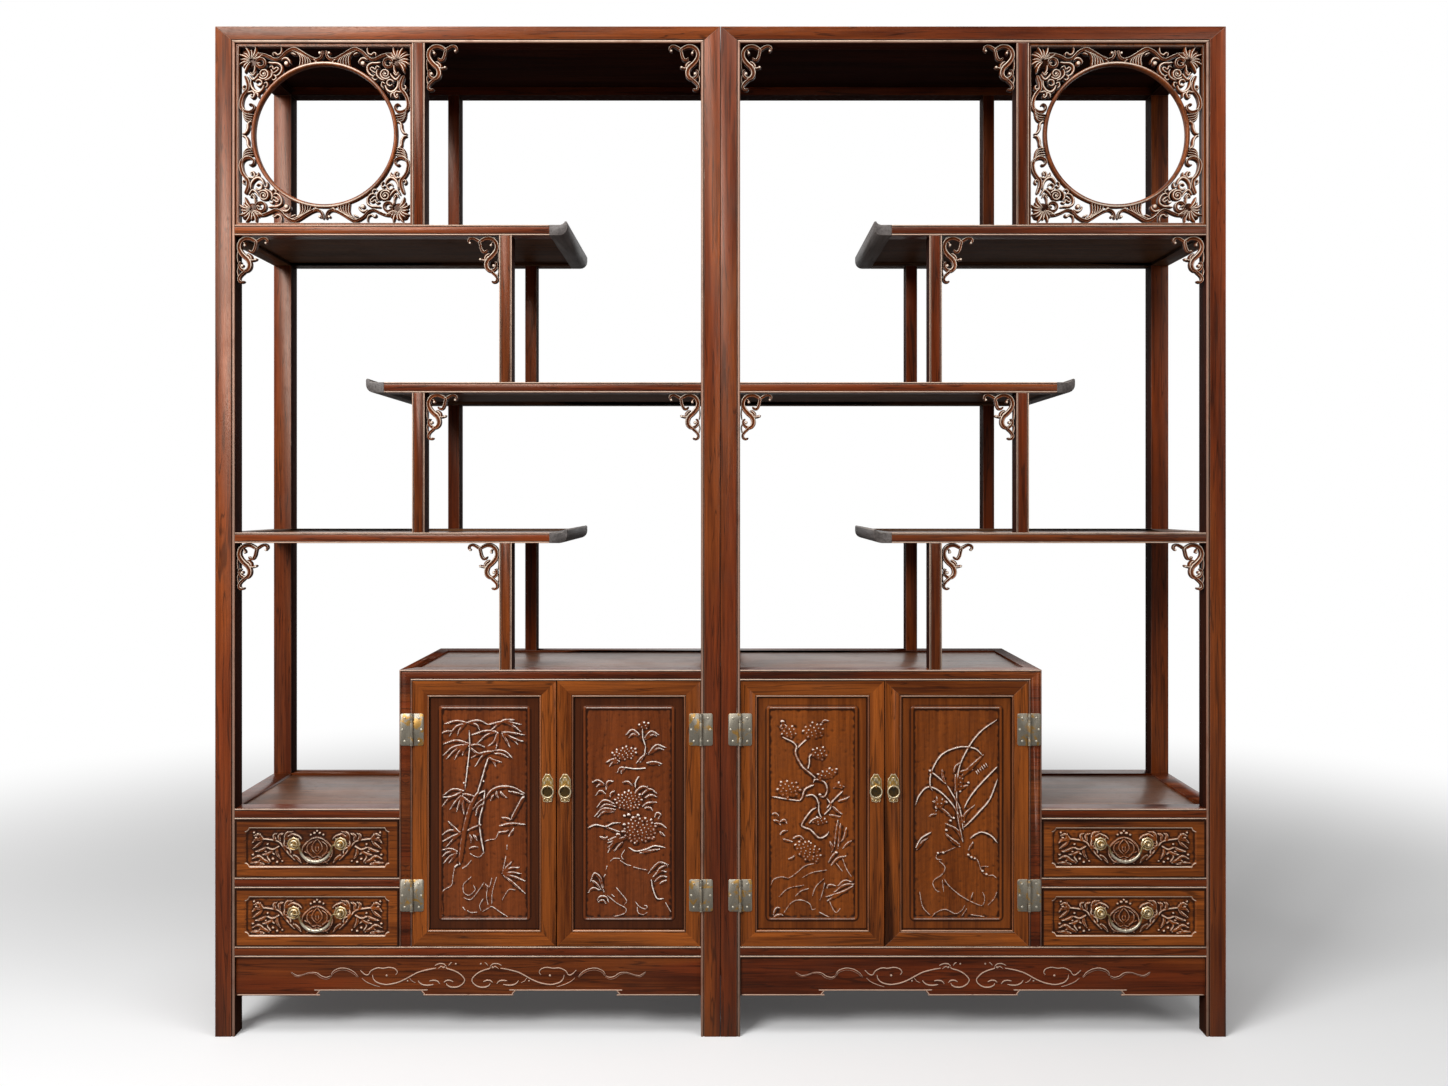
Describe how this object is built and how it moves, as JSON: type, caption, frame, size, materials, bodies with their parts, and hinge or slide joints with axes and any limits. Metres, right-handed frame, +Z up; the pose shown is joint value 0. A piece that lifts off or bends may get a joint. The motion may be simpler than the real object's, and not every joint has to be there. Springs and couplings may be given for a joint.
{
  "type": "display book cabinet pair",
  "caption": "Mirrored pair of carved rosewood display book cabinets with stepped open shelves, moon windows, cupboards with hinged doors, and drawers",
  "frame": {"origin": "middle of the pair's overall box, at the floor", "axes": "+X to the right as seen from the front, -Y towards the viewer, +Z up"},
  "size_m": [1.9206, 0.3626, 1.92],
  "materials": {
    "rosewood_frame": "polished reddish-brown rosewood, worn at the edges",
    "rosewood_panel": "polished dark reddish-brown rosewood board",
    "rosewood_carved": "polished amber-brown rosewood, carved in relief",
    "rosewood_fretwork": "polished reddish-brown rosewood, pierced and carved",
    "dark_end_wood": "dark grey-brown end wood, worn",
    "drawer_wood": "plain planed wood, waxed",
    "hinge_brass": "tarnished silvery brass with golden rubbed places",
    "pull_brass": "golden brass, lightly tarnished"
  },
  "bodies": {
    "cabinet_pair": {"right_corner_posts": "rosewood_frame", "right_top_frame": "rosewood_frame", "right_moon_fretwork": "rosewood_fretwork", "right_spandrels": "rosewood_fretwork", "right_dividers": "rosewood_frame", "right_upper_shelf": "rosewood_frame", "right_middle_shelf": "rosewood_frame", "right_lower_shelf": "rosewood_frame", "right_shelf_end_caps": "dark_end_wood", "right_case_frame": "rosewood_frame", "right_case_panels": "rosewood_panel", "right_aprons": "rosewood_panel", "right_fixed_hinge_leaves": "hinge_brass", "left_corner_posts": "rosewood_frame", "left_top_frame": "rosewood_frame", "left_moon_fretwork": "rosewood_fretwork", "left_spandrels": "rosewood_fretwork", "left_dividers": "rosewood_frame", "left_upper_shelf": "rosewood_frame", "left_middle_shelf": "rosewood_frame", "left_lower_shelf": "rosewood_frame", "left_shelf_end_caps": "dark_end_wood", "left_case_frame": "rosewood_frame", "left_case_panels": "rosewood_panel", "left_aprons": "rosewood_panel", "left_fixed_hinge_leaves": "hinge_brass"},
    "right_outer_door": {"right_outer_door_frame": "rosewood_frame", "right_outer_door_panel": "rosewood_carved", "right_outer_door_fittings": "hinge_brass"},
    "right_outer_door_ring": {"right_outer_door_pull_ring": "pull_brass"},
    "right_inner_door": {"right_inner_door_frame": "rosewood_frame", "right_inner_door_panel": "rosewood_carved", "right_inner_door_fittings": "hinge_brass"},
    "right_inner_door_ring": {"right_inner_door_pull_ring": "pull_brass"},
    "right_upper_drawer": {"right_upper_drawer_front": "rosewood_carved", "right_upper_drawer_box": "drawer_wood", "right_upper_drawer_rosettes": "pull_brass"},
    "right_upper_drawer_pull": {"right_upper_drawer_bail": "pull_brass"},
    "right_lower_drawer": {"right_lower_drawer_front": "rosewood_carved", "right_lower_drawer_box": "drawer_wood", "right_lower_drawer_rosettes": "pull_brass"},
    "right_lower_drawer_pull": {"right_lower_drawer_bail": "pull_brass"},
    "left_outer_door": {"left_outer_door_frame": "rosewood_frame", "left_outer_door_panel": "rosewood_carved", "left_outer_door_fittings": "hinge_brass"},
    "left_outer_door_ring": {"left_outer_door_pull_ring": "pull_brass"},
    "left_inner_door": {"left_inner_door_frame": "rosewood_frame", "left_inner_door_panel": "rosewood_carved", "left_inner_door_fittings": "hinge_brass"},
    "left_inner_door_ring": {"left_inner_door_pull_ring": "pull_brass"},
    "left_upper_drawer": {"left_upper_drawer_front": "rosewood_carved", "left_upper_drawer_box": "drawer_wood", "left_upper_drawer_rosettes": "pull_brass"},
    "left_upper_drawer_pull": {"left_upper_drawer_bail": "pull_brass"},
    "left_lower_drawer": {"left_lower_drawer_front": "rosewood_carved", "left_lower_drawer_box": "drawer_wood", "left_lower_drawer_rosettes": "pull_brass"},
    "left_lower_drawer_pull": {"left_lower_drawer_bail": "pull_brass"}
  },
  "joints": [
    {"name": "right_outer_door_hinge", "type": "hinge", "parent": "cabinet_pair", "child": "right_outer_door", "pos_m": [0.5863, -0.17225, 0.4265], "axis": [0, 0, 1], "range_deg": [0, 90]},
    {"name": "right_outer_door_ring_swing", "type": "hinge", "parent": "right_outer_door", "child": "right_outer_door_ring", "pos_m": [0.3284, -0.17325, 0.4775], "axis": [-1, 0, 0], "range_deg": [0, 170]},
    {"name": "right_inner_door_hinge", "type": "hinge", "parent": "cabinet_pair", "child": "right_inner_door", "pos_m": [0.0373, -0.17225, 0.4265], "axis": [0, 0, -1], "range_deg": [0, 90]},
    {"name": "right_inner_door_ring_swing", "type": "hinge", "parent": "right_inner_door", "child": "right_inner_door_ring", "pos_m": [0.2952, -0.17325, 0.4775], "axis": [-1, 0, 0], "range_deg": [0, 170]},
    {"name": "right_upper_drawer_slide", "type": "slide", "parent": "cabinet_pair", "child": "right_upper_drawer", "axis": [0, -1, 0], "range_m": [0, 0.22]},
    {"name": "right_upper_drawer_pull_swing", "type": "hinge", "parent": "right_upper_drawer", "child": "right_upper_drawer_pull", "pos_m": [0.7668, -0.17775, 0.3663], "axis": [-1, 0, 0], "range_deg": [0, 170]},
    {"name": "right_lower_drawer_slide", "type": "slide", "parent": "cabinet_pair", "child": "right_lower_drawer", "axis": [0, -1, 0], "range_m": [0, 0.22]},
    {"name": "right_lower_drawer_pull_swing", "type": "hinge", "parent": "right_lower_drawer", "child": "right_lower_drawer_pull", "pos_m": [0.7668, -0.17775, 0.2353], "axis": [-1, 0, 0], "range_deg": [0, 170]},
    {"name": "left_outer_door_hinge", "type": "hinge", "parent": "cabinet_pair", "child": "left_outer_door", "pos_m": [-0.5863, -0.17225, 0.4265], "axis": [0, 0, -1], "range_deg": [0, 90]},
    {"name": "left_outer_door_ring_swing", "type": "hinge", "parent": "left_outer_door", "child": "left_outer_door_ring", "pos_m": [-0.3284, -0.17325, 0.4775], "axis": [-1, 0, 0], "range_deg": [0, 170]},
    {"name": "left_inner_door_hinge", "type": "hinge", "parent": "cabinet_pair", "child": "left_inner_door", "pos_m": [-0.0373, -0.17225, 0.4265], "axis": [0, 0, 1], "range_deg": [0, 90]},
    {"name": "left_inner_door_ring_swing", "type": "hinge", "parent": "left_inner_door", "child": "left_inner_door_ring", "pos_m": [-0.2952, -0.17325, 0.4775], "axis": [-1, 0, 0], "range_deg": [0, 170]},
    {"name": "left_upper_drawer_slide", "type": "slide", "parent": "cabinet_pair", "child": "left_upper_drawer", "axis": [0, -1, 0], "range_m": [0, 0.22]},
    {"name": "left_upper_drawer_pull_swing", "type": "hinge", "parent": "left_upper_drawer", "child": "left_upper_drawer_pull", "pos_m": [-0.7668, -0.17775, 0.3663], "axis": [-1, 0, 0], "range_deg": [0, 170]},
    {"name": "left_lower_drawer_slide", "type": "slide", "parent": "cabinet_pair", "child": "left_lower_drawer", "axis": [0, -1, 0], "range_m": [0, 0.22]},
    {"name": "left_lower_drawer_pull_swing", "type": "hinge", "parent": "left_lower_drawer", "child": "left_lower_drawer_pull", "pos_m": [-0.7668, -0.17775, 0.2353], "axis": [-1, 0, 0], "range_deg": [0, 170]}
  ]
}
